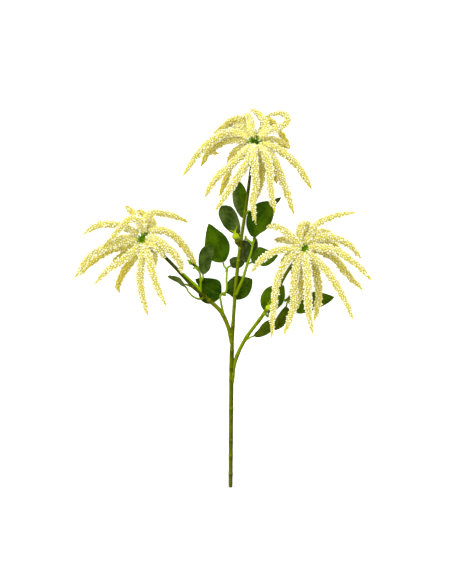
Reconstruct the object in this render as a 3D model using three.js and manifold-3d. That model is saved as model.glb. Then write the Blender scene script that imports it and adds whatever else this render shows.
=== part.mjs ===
// A cut spray of hanging amaranth: three heads of drooping catkins, ovate leaves and
// small green buds on one forked stem, lying on its back on a table.
// Millimetres. X is across the spray, Y runs up the stem, Z is the height over the table.
// The origin is on the table, under the middle of the spray's box.
import * as THREE from "three";
import { mergeVertices } from "three/addons/utils/BufferGeometryUtils.js";
import Module from "manifold-3d";

const wasm = await Module();
wasm.setup();

// Driving dimensions
const hubHeight = 62; // middle of each hub over the table
const cutEndY = -384; // the cut end of the stem, which touches the table
const stemRadius = { cut: 4.3, fork: 4.7, above: 3.9, neck: 2.9 }; // fork and above: beside the fork
const leftBranchRadius = { root: 4.4, neck: 3.2 };
const rightBranchRadius = { root: 4, neck: 3.3 };
const twigRadius = { root: 2.3, end: 1.8 };
const spurStout = 1.2; // a spur's thickness at its root, beside other twigs
const catkinRadius = 7.8; // over the florets, at the thickest place
const catkinSides = 6;
const floretSpacing = 11.5; // from one ring of florets to the next
const pegRadius = 1.9; // the green stalk that carries a catkin
const floretOut = 1.13; // how far florets stand out, as a share of the radius
const floretIn = 0.83; // the dips between them
const leafThickness = 0.7;
const petioleLength = 5;
const petioleRadius = 1.4;
const stubLength = 2.5; // the straight end of a twig, in line with what it carries
const seatGap = 0.3; // between a piece and what carries it
const boxCentre = { x: 0, y: -4 }; // of the whole spray, in the figures below

// Where each head's hub is, the way its stem points into it, and how far from its middle
// the florets start
const hubs = {
  top: { at: [63, 309], axis: [0.145, 0.985, 0.08], peg: 15.5 },
  left: { at: [-162, 116], axis: [-0.79, 0.59, 0.14], peg: 18 },
  right: { at: [161, 95], axis: [0.62, 0.77, 0.14], peg: 14.5 },
};

// Each row is one catkin: the points that its spine passes on the way to the tip,
// measured from the hub. size is its thickness beside catkinRadius.
const catkins = {
  top: [
    { spine: [[-8, 34, -16], [-38, 50, -38], [-78, 17, -54], [-94, -11, -57], [-71, -19, -57]] },
    { spine: [[-30, 18, 6], [-58, 19, 10], [-104, -11, 6], [-145, -67, -4]] },
    { spine: [[-34, 7, -4], [-66, 2, -12], [-92, -16, -24], [-109, -46, -34]] },
    { spine: [[14, 26, -22], [24, 50, -45], [36, 45, -52], [53, 23, -56], [72, -5, -59]], size: 0.9 },
    { spine: [[22, 20, 14], [48, 30, 18], [61, 38, 15], [65, 48, 9], [58, 57, 3], [42, 59, -3], [20, 53, -10]], size: 0.9 },
    { spine: [[16, 20, 8], [21, 35, 6], [14, 50, -4], [4, 62, -14], [-10, 70, -32]] },
    { spine: [[-8, 26, 12], [-9, 42, 8], [-13, 54, -4], [-24, 56, -24]] },
    { spine: [[-24, 32, -20], [-36, 34, -42], [-44, 30, -59]] },
    { spine: [[-24, -6, -12], [-43, -20, -26], [-54, -58, -34], [-71, -105, -42]] },
    { spine: [[-19, -18, 26], [-44, -43, 38], [-79, -74, 34], [-101, -111, 24]] },
    { spine: [[-8, -24, 34], [-24, -55, 52], [-53, -98, 53], [-80, -138, 44]] },
    { spine: [[-4, -24, 44], [-1, -62, 62], [0, -94, 64], [-5, -122, 61], [1, -162, 54]], size: 0.9 },
    { spine: [[13, -20, -18], [13, -62, -28], [3, -114, -32]] },
    { spine: [[17, -20, 30], [27, -52, 52], [31, -100, 58], [39, -142, 54]] },
    { spine: [[25, -16, 10], [43, -46, 16], [60, -90, 14], [78, -144, 8]] },
    { spine: [[24, -26, -20], [36, -54, -34], [45, -80, -40]] },
    { spine: [[26, -5, 10], [53, -18, 14], [86, -48, 10], [114, -93, -2]] },
    { spine: [[26, 7, -4], [50, 1, -14], [71, -9, -32]] },
  ],
  left: [
    { spine: [[-21, 18, 20], [-51, 28, 34], [-86, 28, 30], [-118, 10, 8]] },
    { spine: [[-23, -2, 20], [-62, -11, 28], [-103, -34, 22], [-136, -78, 10]] },
    { spine: [[-2, 33, 30], [-24, 38, 54], [-53, 9, 50], [-76, -13, 38]], size: 0.85 },
    { spine: [[-26, -12, -16], [-64, -20, -22], [-100, -43, -20], [-128, -73, -16]] },
    { spine: [[-20, 5, -8], [-40, 3, -20], [-63, -3, -30]], size: 0.9 },
    { spine: [[-23, -19, -20], [-49, -37, -38], [-67, -51, -48]] },
    { spine: [[-19, -26, 30], [-45, -46, 40], [-74, -67, 32], [-95, -90, 20]], size: 0.9 },
    { spine: [[-10, -27, -18], [-36, -60, -32], [-51, -92, -40], [-47, -108, -44]] },
    { spine: [[1, -35, 32], [-4, -75, 40], [1, -112, 35], [12, -153, 24]] },
    { spine: [[13, -33, 44], [21, -67, 56], [33, -99, 54], [49, -134, 46]] },
    { spine: [[20, -20, 19], [24, -42, 14], [20, -62, 4]] },
    { spine: [[26, 0, 30], [52, -19, 44], [75, -45, 34], [78, -68, 14]], size: 1.12 },
    { spine: [[25, -14, 36], [38, -24, 38], [45, -39, 26]] },
    { spine: [[19, 17, 4], [50, 15, 0], [80, -10, -8], [108, -51, -16]] },
    { spine: [[3, 34, 10], [16, 51, 4], [51, 51, -14], [92, 35, -34]], size: 0.9 },
    { spine: [[-6, 29, -8], [-17, 51, -38], [-29, 63, -59], [-38, 69, -62]] },
    { spine: [[7, 31, -24], [2, 50, -48], [-5, 58, -59], [-13, 61, -62]] },
    { spine: [[15, 21, -18], [19, 36, -44], [16, 47, -59], [11, 52, -62]] },
  ],
  right: [
    { spine: [[10, 28, 16], [28, 53, 20], [66, 69, 12], [104, 75, 2]], size: 0.85 },
    { spine: [[16, 18, 10], [46, 26, 14], [87, 12, 6], [115, -17, -4]] },
    { spine: [[22, 16, -18], [50, 18, -34], [79, -3, -48]] },
    { spine: [[26, 5, 22], [58, -1, 32], [102, -28, 24], [135, -61, 10]] },
    { spine: [[22, 1, -14], [57, -13, -15], [87, -48, -12], [119, -81, -16]] },
    { spine: [[20, -17, 28], [48, -48, 38], [78, -96, 32], [98, -140, 22]] },
    { spine: [[14, -20, -8], [27, -56, -9], [29, -100, -8], [20, -144, -8]] },
    { spine: [[4, -30, 42], [6, -75, 60], [7, -122, 57], [16, -168, 46]] },
    { spine: [[0, -31, -14], [-5, -72, -10], [-15, -120, -8]] },
    { spine: [[-12, -20, 30], [-21, -64, 44], [-23, -114, 44], [-41, -170, 36]], size: 0.94 },
    { spine: [[-25, -12, 32], [-50, -47, 46], [-61, -110, 47], [-66, -176, 40]], size: 0.88 },
    { spine: [[-26, 1, 30], [-56, -2, 40], [-84, -19, 30], [-105, -44, 14]], size: 0.9 },
    { spine: [[-16, 15, 20], [-37, 36, 28], [-61, 47, 16], [-75, 46, 4]] },
    { spine: [[-20, 14, -16], [-38, 22, -42], [-50, 22, -59], [-59, 21, -62]], size: 0.85 },
    { spine: [[-9, 26, 10], [-10, 40, 8], [-2, 51, 0], [9, 51, -10], [9, 40, -28]], size: 0.9 },
    { spine: [[-29, -11, -24], [-44, -36, -38], [-50, -56, -46]] },
    { spine: [[3, 32, -30], [14, 44, -52], [21, 48, -59], [28, 50, -62]] },
    { spine: [[20, 28, -22], [42, 38, -50], [54, 35, -59], [62, 31, -62]] },
  ],
};

// The stem and its twigs, from where each one leaves what carries it
const mainStem = [
  [14, cutEndY, stemRadius.cut], [15.2, -240, 15.9], [16.8, -105, 27.4], [20.6, -31, 33.6],
  [26, 38, 39.5], [35, 114, 45.9], [46.5, 191, 52.5], [54, 250, 57.5],
];
const leftBranch = [
  [17, -92, 28.4], [11, -64, 31], [-5, -29, 35], [-30, -4.8, 39.5], [-60, 21.2, 44],
  [-95.5, 59, 50], [-128, 91, 56],
];
const rightBranch = [
  [17, -172, 21.7], [22.5, -132, 25], [42, -87, 29], [82, -31, 37], [107, 14, 46], [131, 57, 54],
];
// Cut-off spurs, which carry nothing
const spurs = [
  [[-50, 55, 42], [-56, 60, 44], [-61, 58, 46]],
  [[-54, 17, 42], [-66, 22.5, 42.5], [-77, 27, 42]],
  [[-46, 11, 42], [-52, 21, 44.5], [-69, 37, 47.5], [-83, 50.5, 50.5], [-92, 58, 51.5]],
  [[43, 166, 50], [49, 171, 55], [54, 176, 58]],
  [[137, 22, 40.5], [132, 1, 40], [127, -5, 40], [122, -8, 40]],
];

// Leaves. twig is the path that leads to the leaf from inside what carries it, and stout its
// thickness beside other twigs. The midrib runs from base to tip, bent towards bow. left and
// right are half widths at widthShares of the length, seen from above with the tip ahead.
// roll and fold are slopes: how much the right edge is raised, and both edges.
const widthShares = [0, 0.08, 0.22, 0.4, 0.6, 0.8, 0.93, 1];
const leaves = {
  leaf_inner_left: {
    twig: [[0, -34, 34], [-5, -10, 38], [-6, 4, 40], [5, 12, 41], [6, 36, 43], [6, 56, 44]],
    from: [-1, 71, 47], bow: [-10, 108, 54], to: [-30, 149, 51], roll: 0.1, fold: -0.16,
    left: [17, 24.5, 28, 21.5, 12.5, 4.5], right: [9.5, 17.5, 21.5, 18, 8.5, 3],
  },
  leaf_outer_left: {
    twig: [[-46, 14, 42.3], [-46, 24, 43.5], [-45.5, 32, 45.2], [-43.2, 36.5, 46.6]],
    from: [-41, 47, 51], bow: [-41, 76, 63], to: [-21.5, 104, 66], roll: -0.3, fold: 0.15,
    left: [4.5, 8, 11.5, 14.5, 13, 6], right: [8, 12, 12, 11, 8.5, 4],
  },
  leaf_low_left: {
    twig: [[-2, 7.2, 40.4], [2.5, 7, 39.4], [4, 5, 38.2]],
    from: [-5, 6, 33.5], bow: [-24, 10, 23], to: [-57, 37, 27], roll: -0.05, fold: 0.1,
    left: [13, 24, 27, 21, 5, 2], right: [16, 22.5, 23.5, 19, 12, 5.5],
  },
  leaf_behind_stem: {
    twig: [[-1.5, 7.6, 40.3], [-0.5, 8.4, 39.2]],
    from: [7, 10, 33], bow: [26, 13, 19], to: [58, 37, 25], roll: 0.14, fold: 0.1,
    left: [15, 20.5, 23, 23, 13, 5.5], right: [4, 17, 21.5, 20.5, 13, 5],
  },
  leaf_upper_left: {
    twig: [[35, 114, 45.9], [36, 118, 42], [35, 121, 40]],
    from: [31, 128, 40], bow: [16, 156, 38], to: [-5, 184, 44], roll: 0.2, fold: 0.12,
    left: [8, 13.5, 17, 16.5, 14, 8], right: [4.5, 9.5, 13, 15.5, 14, 7],
  },
  leaf_upper_back: {
    twig: [[41, 152, 49], [42, 153, 45]],
    from: [40, 160, 43], bow: [35, 196, 38], to: [32, 234, 43], roll: 0.16, fold: 0.16,
    left: [6, 11, 15, 15.5, 13.5, 7], right: [6, 9, 10, 11, 8.5, 3],
  },
  leaf_upper_right: {
    twig: [
      [25, 6, 37.5], [31, 20, 41], [39, 38, 45],
      [48, 68, 50], [56, 92, 53], [59, 110, 55],
    ],
    stout: 1.4,
    from: [61, 121, 56.5], bow: [68, 168, 61.5], to: [116, 201, 56], roll: -0.1, fold: 0.14,
    left: [11.5, 21.5, 25.5, 21, 6, 2], right: [8, 18, 21.5, 17, 5, 2.5],
  },
  leaf_middle_back: {
    twig: [[58.5, 108, 55], [51, 113, 50], [45, 119, 41]],
    from: [43, 115, 33], bow: [39, 95, 31], to: [46, 70, 32], roll: -0.2, fold: 0.2,
    left: [9, 13, 15, 15, 11, 5], right: [8, 10, 11, 11, 9, 4],
  },
  leaf_edge_on: {
    twig: [[58, 104, 54], [62, 116, 49], [63, 124, 46]],
    from: [63.5, 119, 40], bow: [67, 100, 38], to: [60, 76, 36], roll: 0.9, fold: 0.2,
    left: [2, 3, 3, 3, 2.5, 1.5], right: [3, 4.5, 5, 4.5, 3, 1.5],
  },
  leaf_small_back: {
    twig: [[6, 52, 43.8], [7.5, 58, 42.5]],
    from: [15, 64, 35], bow: [26, 69, 24], to: [44, 77, 26], roll: 0.12, fold: 0.16,
    left: [10.5, 12, 12.5, 10, 6, 3], right: [4.5, 7, 9.5, 9.5, 6.5, 2.5],
  },
  leaf_right: {
    twig: [[47, 64, 49.4], [50, 70, 48]],
    from: [57, 71, 48], bow: [80, 82, 48], to: [110, 84, 45], roll: 0.14, fold: 0.12,
    left: [12, 17.5, 22, 15, 6, 2.5], right: [5, 11, 15.5, 14.5, 9.5, 3],
  },
  leaf_low_right: {
    twig: [[84, -30, 37], [87, -37, 34]],
    from: [90, -31, 31], bow: [91, 4, 30], to: [122, 24, 33], roll: -0.1, fold: -0.22,
    left: [9, 16.5, 20.5, 19, 11, 4], right: [11, 18, 22, 22, 17, 8],
  },
  leaf_lowest: {
    twig: [[41, -88, 28.8], [48, -84, 31]],
    from: [62, -77, 33.5], bow: [84, -68, 36], to: [112, -43, 33], roll: 0.3, fold: 0.16,
    left: [4, 6.5, 11, 12, 8, 3.5], right: [4.5, 7, 8.5, 8, 6, 3],
  },
  leaf_hanging: {
    twig: [[138, 28, 41.5], [135.5, 12, 40], [132, -2, 38], [131, -8, 35]],
    from: [126, -19, 31], bow: [121, -42, 26], to: [98, -65, 22], roll: 0.3, fold: 0.14,
    left: [6.5, 9, 11, 11.5, 8, 4], right: [3.5, 6, 7.5, 7.5, 7, 3.5],
  },
  leaf_far_right: {
    twig: [[135, 63, 54], [139, 38, 44], [136, 14, 39], [132, 2, 38], [126, -4, 33], [122, -5, 25]],
    from: [132, -8, 22], bow: [166, -18, 20], to: [224, 1, 24], roll: -0.06, fold: 0.1,
    left: [9, 15, 18.5, 19, 12, 4.5], right: [11, 20, 17, 12.5, 7.5, 3],
  },
  leaf_far_left: {
    twig: [[-34, 3, 40.5], [-47, -3, 42], [-61, 2, 44], [-72, 14, 46]],
    from: [-78, 23, 47.5], bow: [-90, 36, 52], to: [-112, 43, 49], roll: 1.1, fold: 0.3,
    left: [2.5, 3, 2.5, 3, 2.5, 1.5], right: [2, 3, 5.5, 4.5, 2.5, 1.2],
  },
};

// Buds: the twig that leads to each, where it sits, the way it points and its length
// without the awns
const buds = {
  bud_middle: {
    twig: [[34, 98, 45], [33, 97, 48]],
    from: [31.2, 102, 51.2], towards: [-0.28, 0.9, 0.2], length: 30,
  },
  bud_left: {
    twig: [[-46, 33, 45], [-47, 46, 43], [-50, 55, 41]],
    from: [-52.5, 62, 37.5], towards: [-0.82, 0.55, -0.15], length: 22,
  },
  bud_right: {
    twig: [[81, -33, 36.5], [82, -34, 41]],
    from: [84, -31, 43.5], towards: [0.35, 0.8, 0.42], length: 19,
  },
};

const colours = {
  stem: { color: 0x6f7f1c, roughness: 0.55 },
  catkin: { color: 0xeee79c, roughness: 0.8 },
  leaf: { color: 0x2f4a12, roughness: 0.5 },
  bud: { color: 0xa3b834, roughness: 0.55 },
};

const lerp = THREE.MathUtils.lerp;
const smooth = THREE.MathUtils.smoothstep;
const clampToTable = (point) => point.setZ(Math.max(0, point.z));

function splineThrough(points) {
  const vectors = points.map((p) => new THREE.Vector3(...p));
  return new THREE.CatmullRomCurve3(vectors, false, "centripetal");
}

// A closed body over rings of equally many points, with a fan over its first and last ring.
// A fan's middle is the ring's own middle, or the point given for it.
function loft(rings, firstPole, lastPole) {
  const sides = rings[0].length;
  const middle = (ring) =>
    ring.reduce((sum, p) => sum.add(p), new THREE.Vector3()).divideScalar(sides);
  const points = [...rings.flat(), firstPole ?? middle(rings[0]), lastPole ?? middle(rings.at(-1))];
  const first = points.length - 2;
  const last = points.length - 1;
  const lastRing = (rings.length - 1) * sides;
  const index = [];
  for (let k = 0; k < sides; k++) {
    const next = (k + 1) % sides;
    for (let j = 0; j < lastRing; j += sides) {
      index.push(j + k, j + next, j + sides + k);
      index.push(j + next, j + sides + next, j + sides + k);
    }
    index.push(first, next, k);
    index.push(last, lastRing + k, lastRing + next);
  }
  return new THREE.BufferGeometry().setFromPoints(points).setIndex(index);
}

// A tube along a curve. radiusAt(share of the length, ring, side) gives each corner's distance.
function tube(curve, rings, sides, radiusAt, { pointed = false, place = (p) => p } = {}) {
  const frames = curve.computeFrenetFrames(rings - 1, false);
  const made = [];
  for (let j = 0; j < rings - (pointed ? 1 : 0); j++) {
    const share = j / (rings - 1);
    const centre = curve.getPointAt(share);
    const ring = [];
    for (let k = 0; k < sides; k++) {
      const angle = (2 * Math.PI * k) / sides;
      const radius = radiusAt(share, j, k);
      const corner = centre.clone();
      corner.addScaledVector(frames.normals[j], radius * Math.cos(angle));
      corner.addScaledVector(frames.binormals[j], radius * Math.sin(angle));
      ring.push(place(corner));
    }
    made.push(ring);
  }
  const start = place(curve.getPointAt(0));
  const end = place(curve.getPointAt(1));
  return loft(made, start, end);
}

function solidOf(geometry) {
  const bare = new THREE.BufferGeometry();
  bare.setAttribute("position", geometry.getAttribute("position"));
  bare.setIndex(geometry.getIndex());
  const merged = mergeVertices(bare, 1e-4);
  return new wasm.Manifold(
    new wasm.Mesh({
      numProp: 3,
      vertProperties: new Float32Array(merged.attributes.position.array),
      triVerts: new Uint32Array(merged.index.array),
    }),
  );
}

function geometryOf(solid) {
  const mesh = solid.getMesh();
  const positions = new Float32Array(mesh.numVert * 3);
  for (let i = 0; i < mesh.numVert; i++) {
    positions.set(mesh.vertProperties.subarray(i * mesh.numProp, i * mesh.numProp + 3), i * 3);
  }
  const geometry = new THREE.BufferGeometry();
  geometry.setAttribute("position", new THREE.BufferAttribute(positions, 3));
  geometry.setIndex(new THREE.BufferAttribute(new Uint32Array(mesh.triVerts), 1));
  return geometry;
}

const joined = (geometries) =>
  geometryOf(geometries.map(solidOf).reduce((whole, piece) => whole.add(piece)));

// Thickness of a catkin over the middle of its florets, along its length
function catkinRadiusAt(distance, length, size) {
  const share = distance / length;
  const swell = lerp(0.86, 1, smooth(distance, 15, 50));
  return size * catkinRadius * swell * (1 - share ** 4) ** 0.6;
}

// Florets cover a catkin as relief: every other corner of a ring stands out, and the next
// ring is turned by one corner, so each floret has dips all round it
function catkin(hub, peg, { spine, size = 1 }) {
  const points = [[0, 0, 0], ...spine].map((p) => p.map((value, axis) => value + hub[axis]));
  const curve = splineThrough(points);
  const length = curve.getLength();
  const radiusAt = (share, ring, side) => {
    const distance = share * length;
    if (distance < peg) return pegRadius;
    const radius = catkinRadiusAt(distance, length, size);
    return radius * ((ring + side) % 2 ? floretIn : floretOut);
  };
  const rings = Math.round(length / floretSpacing) + 1;
  const options = { pointed: true, place: clampToTable };
  return tube(curve, rings, catkinSides, radiusAt, options);
}

// The hub's outline from its flat underside to its rounded top: [radius, height]
const hubOutline = [
  [0, -9], [3.6, -9], [5.4, -6], [7.6, -2], [7.6, 2.5], [5, 6.5], [0, 8],
];

function turned(geometry, axis, at) {
  const up = new THREE.Vector3(0, 1, 0);
  const way = new THREE.Vector3(...axis).normalize();
  geometry.applyQuaternion(new THREE.Quaternion().setFromUnitVectors(up, way));
  return geometry.translate(...at);
}

function head(name) {
  const hub = [...hubs[name].at, hubHeight];
  const outline = hubOutline.map(([radius, height]) => new THREE.Vector2(radius, height));
  const receptacle = turned(closedLathe(outline, 8), hubs[name].axis, hub);
  return joined([receptacle, ...catkins[name].map((row) => catkin(hub, hubs[name].peg, row))]);
}

// A lathe whose outline starts and ends on the axis, with one point at each pole
function closedLathe(outline, segments) {
  const rings = outline.slice(1, -1).map(({ x: radius, y: height }) =>
    Array.from({ length: segments }, (_, k) => {
      const angle = (2 * Math.PI * k) / segments;
      return new THREE.Vector3(radius * Math.cos(angle), height, -radius * Math.sin(angle));
    }),
  );
  const pole = (point) => new THREE.Vector3(0, point.y, 0);
  return loft(rings, pole(outline[0]), pole(outline.at(-1)));
}

// The place where a stem stops, a seat gap under the flat face of its hub
function neckEnd(name) {
  const reach = -hubOutline[0][1] + seatGap;
  const axis = new THREE.Vector3(...hubs[name].axis).normalize();
  const hub = new THREE.Vector3(...hubs[name].at, hubHeight);
  return hub.addScaledVector(axis, -reach).toArray();
}

// Leaf scars ring the stem: every third ring of the tube is swollen a little
const scarSpacing = 42;
const scarHeight = 0.45;

function scarredTube(points, sides, radiusAt) {
  const curve = splineThrough(points);
  const rings = 3 * Math.round(curve.getLength() / scarSpacing) + 1;
  const withScars = (share, ring) =>
    radiusAt(share) + (ring % 3 === 1 && ring < rings - 2 ? scarHeight : 0);
  return tube(curve, rings, sides, withScars);
}

function twig(points, stout = 1) {
  const curve = splineThrough(points);
  const rings = Math.max(3, Math.round(curve.getLength() / 13));
  return tube(curve, rings, 5, (share) => lerp(stout * twigRadius.root, twigRadius.end, share));
}

// A twig that ends square to what it carries, a seat gap short of it
function carryingTwig(path, heel, way, stout) {
  const before = (distance) => heel.clone().addScaledVector(way, -seatGap - distance).toArray();
  return twig([...path, before(stubLength), before(stubLength / 2), before(0)], stout);
}

function leafTwig({ twig: path, stout, from, bow }) {
  const base = new THREE.Vector3(...from);
  const way = new THREE.Vector3(...bow).sub(base).normalize();
  return carryingTwig(path, base.addScaledVector(way, -petioleLength), way, stout);
}

const budTwig = ({ twig: path, from, towards }) =>
  carryingTwig(path, new THREE.Vector3(...from), new THREE.Vector3(...towards).normalize());

function stem() {
  const main = scarredTube([...mainStem, neckEnd("top")], 8, (share) =>
    share < 0.4
      ? lerp(stemRadius.cut, stemRadius.fork, share / 0.4)
      : lerp(stemRadius.above, stemRadius.neck, (share - 0.4) / 0.6),
  );
  const branch = (points, { root, neck }) => scarredTube(points, 7, (share) => lerp(root, neck, share));
  const left = branch([...leftBranch, neckEnd("left")], leftBranchRadius);
  const right = branch([...rightBranch, neckEnd("right")], rightBranchRadius);
  const leafTwigs = Object.values(leaves).map(leafTwig);
  const budTwigs = Object.values(buds).map(budTwig);
  const bare = spurs.map((points) => twig(points, spurStout));
  return joined([main, left, right, ...leafTwigs, ...budTwigs, ...bare]);
}

// A blade's half width at a share of its length: a smooth curve through the given widths.
// It runs over the root of the share, which rounds the base and leaves the tip sharp.
function halfWidth(widths, share) {
  const knots = widthShares.map(Math.sqrt);
  const values = [0, ...widths, 0];
  const last = knots.length - 1;
  const slope = (i) => {
    const [a, b] = [Math.max(i - 1, 0), Math.min(i + 1, last)];
    return (values[b] - values[a]) / (knots[b] - knots[a]);
  };
  const k = knots.findIndex((knot) => knot > Math.sqrt(share)) - 1;
  const step = knots[k + 1] - knots[k];
  const t = (Math.sqrt(share) - knots[k]) / step;
  const start = values[k] * (1 + 2 * t) * (1 - t) ** 2 + values[k + 1] * t * t * (3 - 2 * t);
  const bend = slope(k) * t * (1 - t) ** 2 - slope(k + 1) * t * t * (1 - t);
  return Math.max(0, start + bend * step);
}

const bladeStations = [0.02, 0.08, 0.2, 0.36, 0.52, 0.68, 0.82, 0.93];
const bladeColumns = [-1, -0.5, 0, 0.5, 1];
const edgeWave = { height: 1.3, turns: 2.3, fullAt: 14 }; // fullAt is a half width

// A leaf is a closed sheet: a petiole that widens into a blade with a waved edge
function leaf({ from, bow, to, left, right, roll, fold }) {
  const [base, middle, tip] = [from, bow, to].map((p) => new THREE.Vector3(...p));
  const midrib = new THREE.QuadraticBezierCurve3(base, middle, tip);
  const upwards = new THREE.Vector3(0, 0, 1);
  const station = (share, thickness) => {
    const centre = midrib.getPointAt(share);
    const along = midrib.getTangentAt(share);
    const side = along.clone().cross(upwards).normalize();
    const turn = Math.sin(2 * Math.PI * edgeWave.turns * share);
    const across = bladeColumns.map((column) => {
      const width = halfWidth(column < 0 ? left : right, share);
      const offset = Math.sign(column) * petioleRadius + column * width;
      const wave = edgeWave.height * Math.min(1, width / edgeWave.fullAt) * turn;
      const folded = roll * offset + fold * Math.abs(offset) * (1 - 0.4 * Math.abs(column));
      const rise = share > 0 ? folded + wave * column ** 3 : 0;
      return centre.clone().addScaledVector(side, offset).setZ(centre.z + rise);
    });
    const tilted = upwards.clone().applyAxisAngle(along, -Math.atan(roll));
    const lift = (share > 0 ? tilted : side.cross(along)).multiplyScalar(thickness / 2);
    const rows = [1, -1].map((face) => across.map((p) => p.clone().addScaledVector(lift, face)));
    return { rows, along };
  };
  const blade = bladeStations.map((share) => station(share, leafThickness));
  const stalk = station(0, 2 * petioleRadius);
  const heel = station(0, 2 * petioleRadius);
  heel.rows.flat().forEach((p) => p.addScaledVector(heel.along, -petioleLength));
  return sheet([heel, stalk, ...blade].map((s) => s.rows), midrib.getPointAt(1));
}

// A closed sheet from stations that each hold a top and a bottom row of points, both faces
// split into triangles alike, with walls along its rims, a flat heel and a pointed tip
function sheet(stations, tip) {
  const columns = stations[0][0].length;
  const points = [...stations.flat(2), tip];
  const at = (station, face, column) => (2 * station + face) * columns + column;
  const index = [];
  const quad = (a, b, c, d) => index.push(a, b, c, a, c, d);
  const lastStation = stations.length - 1;
  const tipIndex = points.length - 1;
  for (let i = 0; i < lastStation; i++) {
    for (let j = 0; j < columns - 1; j++) {
      quad(at(i, 0, j), at(i, 0, j + 1), at(i + 1, 0, j + 1), at(i + 1, 0, j));
      index.push(at(i, 1, j), at(i + 1, 1, j + 1), at(i, 1, j + 1));
      index.push(at(i, 1, j), at(i + 1, 1, j), at(i + 1, 1, j + 1));
    }
    quad(at(i, 0, 0), at(i + 1, 0, 0), at(i + 1, 1, 0), at(i, 1, 0));
    const edge = columns - 1;
    quad(at(i, 1, edge), at(i + 1, 1, edge), at(i + 1, 0, edge), at(i, 0, edge));
  }
  for (let j = 0; j < columns - 1; j++) {
    quad(at(0, 1, j), at(0, 1, j + 1), at(0, 0, j + 1), at(0, 0, j));
    index.push(at(lastStation, 0, j), at(lastStation, 0, j + 1), tipIndex);
    index.push(at(lastStation, 1, j), tipIndex, at(lastStation, 1, j + 1));
  }
  index.push(at(lastStation, 0, 0), tipIndex, at(lastStation, 1, 0));
  index.push(at(lastStation, 0, columns - 1), at(lastStation, 1, columns - 1), tipIndex);
  return new THREE.BufferGeometry().setFromPoints(points).setIndex(index);
}

// A bud: a ribbed swelling on a short neck, crowned by three thin awns
const budProfile = [
  [0, 0], [0.09, 0], [0.1, 0.12], [0.19, 0.28], [0.19, 0.42], [0.15, 0.5],
  [0.24, 0.64], [0.23, 0.82], [0, 0.97],
];
const awns = [[-0.3, 0.34], [0.04, 0.2], [0.3, 0.46]]; // sideways lean and length

function bud({ from, towards, length }) {
  const outline = budProfile.map(([radius, height]) => new THREE.Vector2(radius * length, height * length));
  const body = closedLathe(outline, 7);
  const spikes = awns.map(([lean, reach], i) => {
    const foot = [0, 0.85 * length, 0];
    const tip = [lean * length, (1 + reach) * length, lean * length * (i - 1)];
    const curve = splineThrough([foot, tip]);
    return tube(curve, 3, 4, (share) => 0.055 * length * (1 - 0.7 * share), { pointed: true });
  });
  return turned(joined([body, ...spikes]), towards, from);
}

function named(name, geometry, look) {
  const mesh = new THREE.Mesh(geometry, new THREE.MeshStandardMaterial({ ...colours[look], metalness: 0 }));
  mesh.name = name;
  return mesh;
}

const spray = new THREE.Group();
spray.add(named("stem", stem(), "stem"));
for (const name of Object.keys(hubs)) spray.add(named(`head_${name}`, head(name), "catkin"));
for (const [name, shape] of Object.entries(leaves)) spray.add(named(name, leaf(shape), "leaf"));
for (const [name, shape] of Object.entries(buds)) spray.add(named(name, bud(shape), "bud"));

spray.position.set(-boxCentre.x, -boxCentre.y, 0);

export default spray;
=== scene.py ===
# A cut spray of hanging amaranth lying on a pale table, seen from straight above.
import math

import bpy
import numpy as np
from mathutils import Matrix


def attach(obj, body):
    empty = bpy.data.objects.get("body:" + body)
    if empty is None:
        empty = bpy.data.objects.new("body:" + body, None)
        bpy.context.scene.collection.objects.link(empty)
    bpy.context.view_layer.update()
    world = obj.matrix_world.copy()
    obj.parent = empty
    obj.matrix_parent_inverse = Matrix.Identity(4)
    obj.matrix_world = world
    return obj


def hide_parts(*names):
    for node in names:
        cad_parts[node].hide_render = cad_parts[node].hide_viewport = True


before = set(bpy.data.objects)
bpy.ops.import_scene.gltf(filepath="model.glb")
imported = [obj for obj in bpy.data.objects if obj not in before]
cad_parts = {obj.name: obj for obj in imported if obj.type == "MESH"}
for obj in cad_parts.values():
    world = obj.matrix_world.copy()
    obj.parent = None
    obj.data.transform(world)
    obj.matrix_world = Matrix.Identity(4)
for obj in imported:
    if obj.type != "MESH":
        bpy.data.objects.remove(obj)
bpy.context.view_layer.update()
print(len(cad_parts), "nodes are loaded")
boxCentre = (0, -4)  # of the whole spray, in the figures below, which are millimetres
tableClear = 0.1  # nothing of the spray reaches lower over the table than this


def placed(points):
    # points of the figures as metres in the frame
    return (np.array(points, float) - (*boxCentre, 0)) / 1000


def unit(vector):
    return np.array(vector, float) / np.linalg.norm(vector)


def blend(value, low, high):
    t = np.clip((np.asarray(value, float) - low) / (high - low), 0, 1)
    return t * t * (3 - 2 * t)


# One way to add nodes, for shaders and for shapes
class Wire:
    # a socket that takes part in sums: each operator adds its Math node
    def __init__(self, maker, socket):
        self.maker, self.socket = maker, socket

    def math(self, operation, *values):
        return self.maker.node("ShaderNodeMath", {"operation": operation}, dict(enumerate(values)))

    def __add__(self, other):
        return self.math("ADD", self, other)

    def __radd__(self, other):
        return self.math("ADD", other, self)

    def __sub__(self, other):
        return self.math("SUBTRACT", self, other)

    def __rsub__(self, other):
        return self.math("SUBTRACT", other, self)

    def __mul__(self, other):
        return self.math("MULTIPLY", self, other)

    def __rmul__(self, other):
        return self.math("MULTIPLY", other, self)

    def __truediv__(self, other):
        return self.math("DIVIDE", self, other)

    def __rtruediv__(self, other):
        return self.math("DIVIDE", other, self)

    def __abs__(self):
        return self.math("ABSOLUTE", self)

    def atLeast(self, other):
        return self.math("MAXIMUM", self, other)


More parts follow.
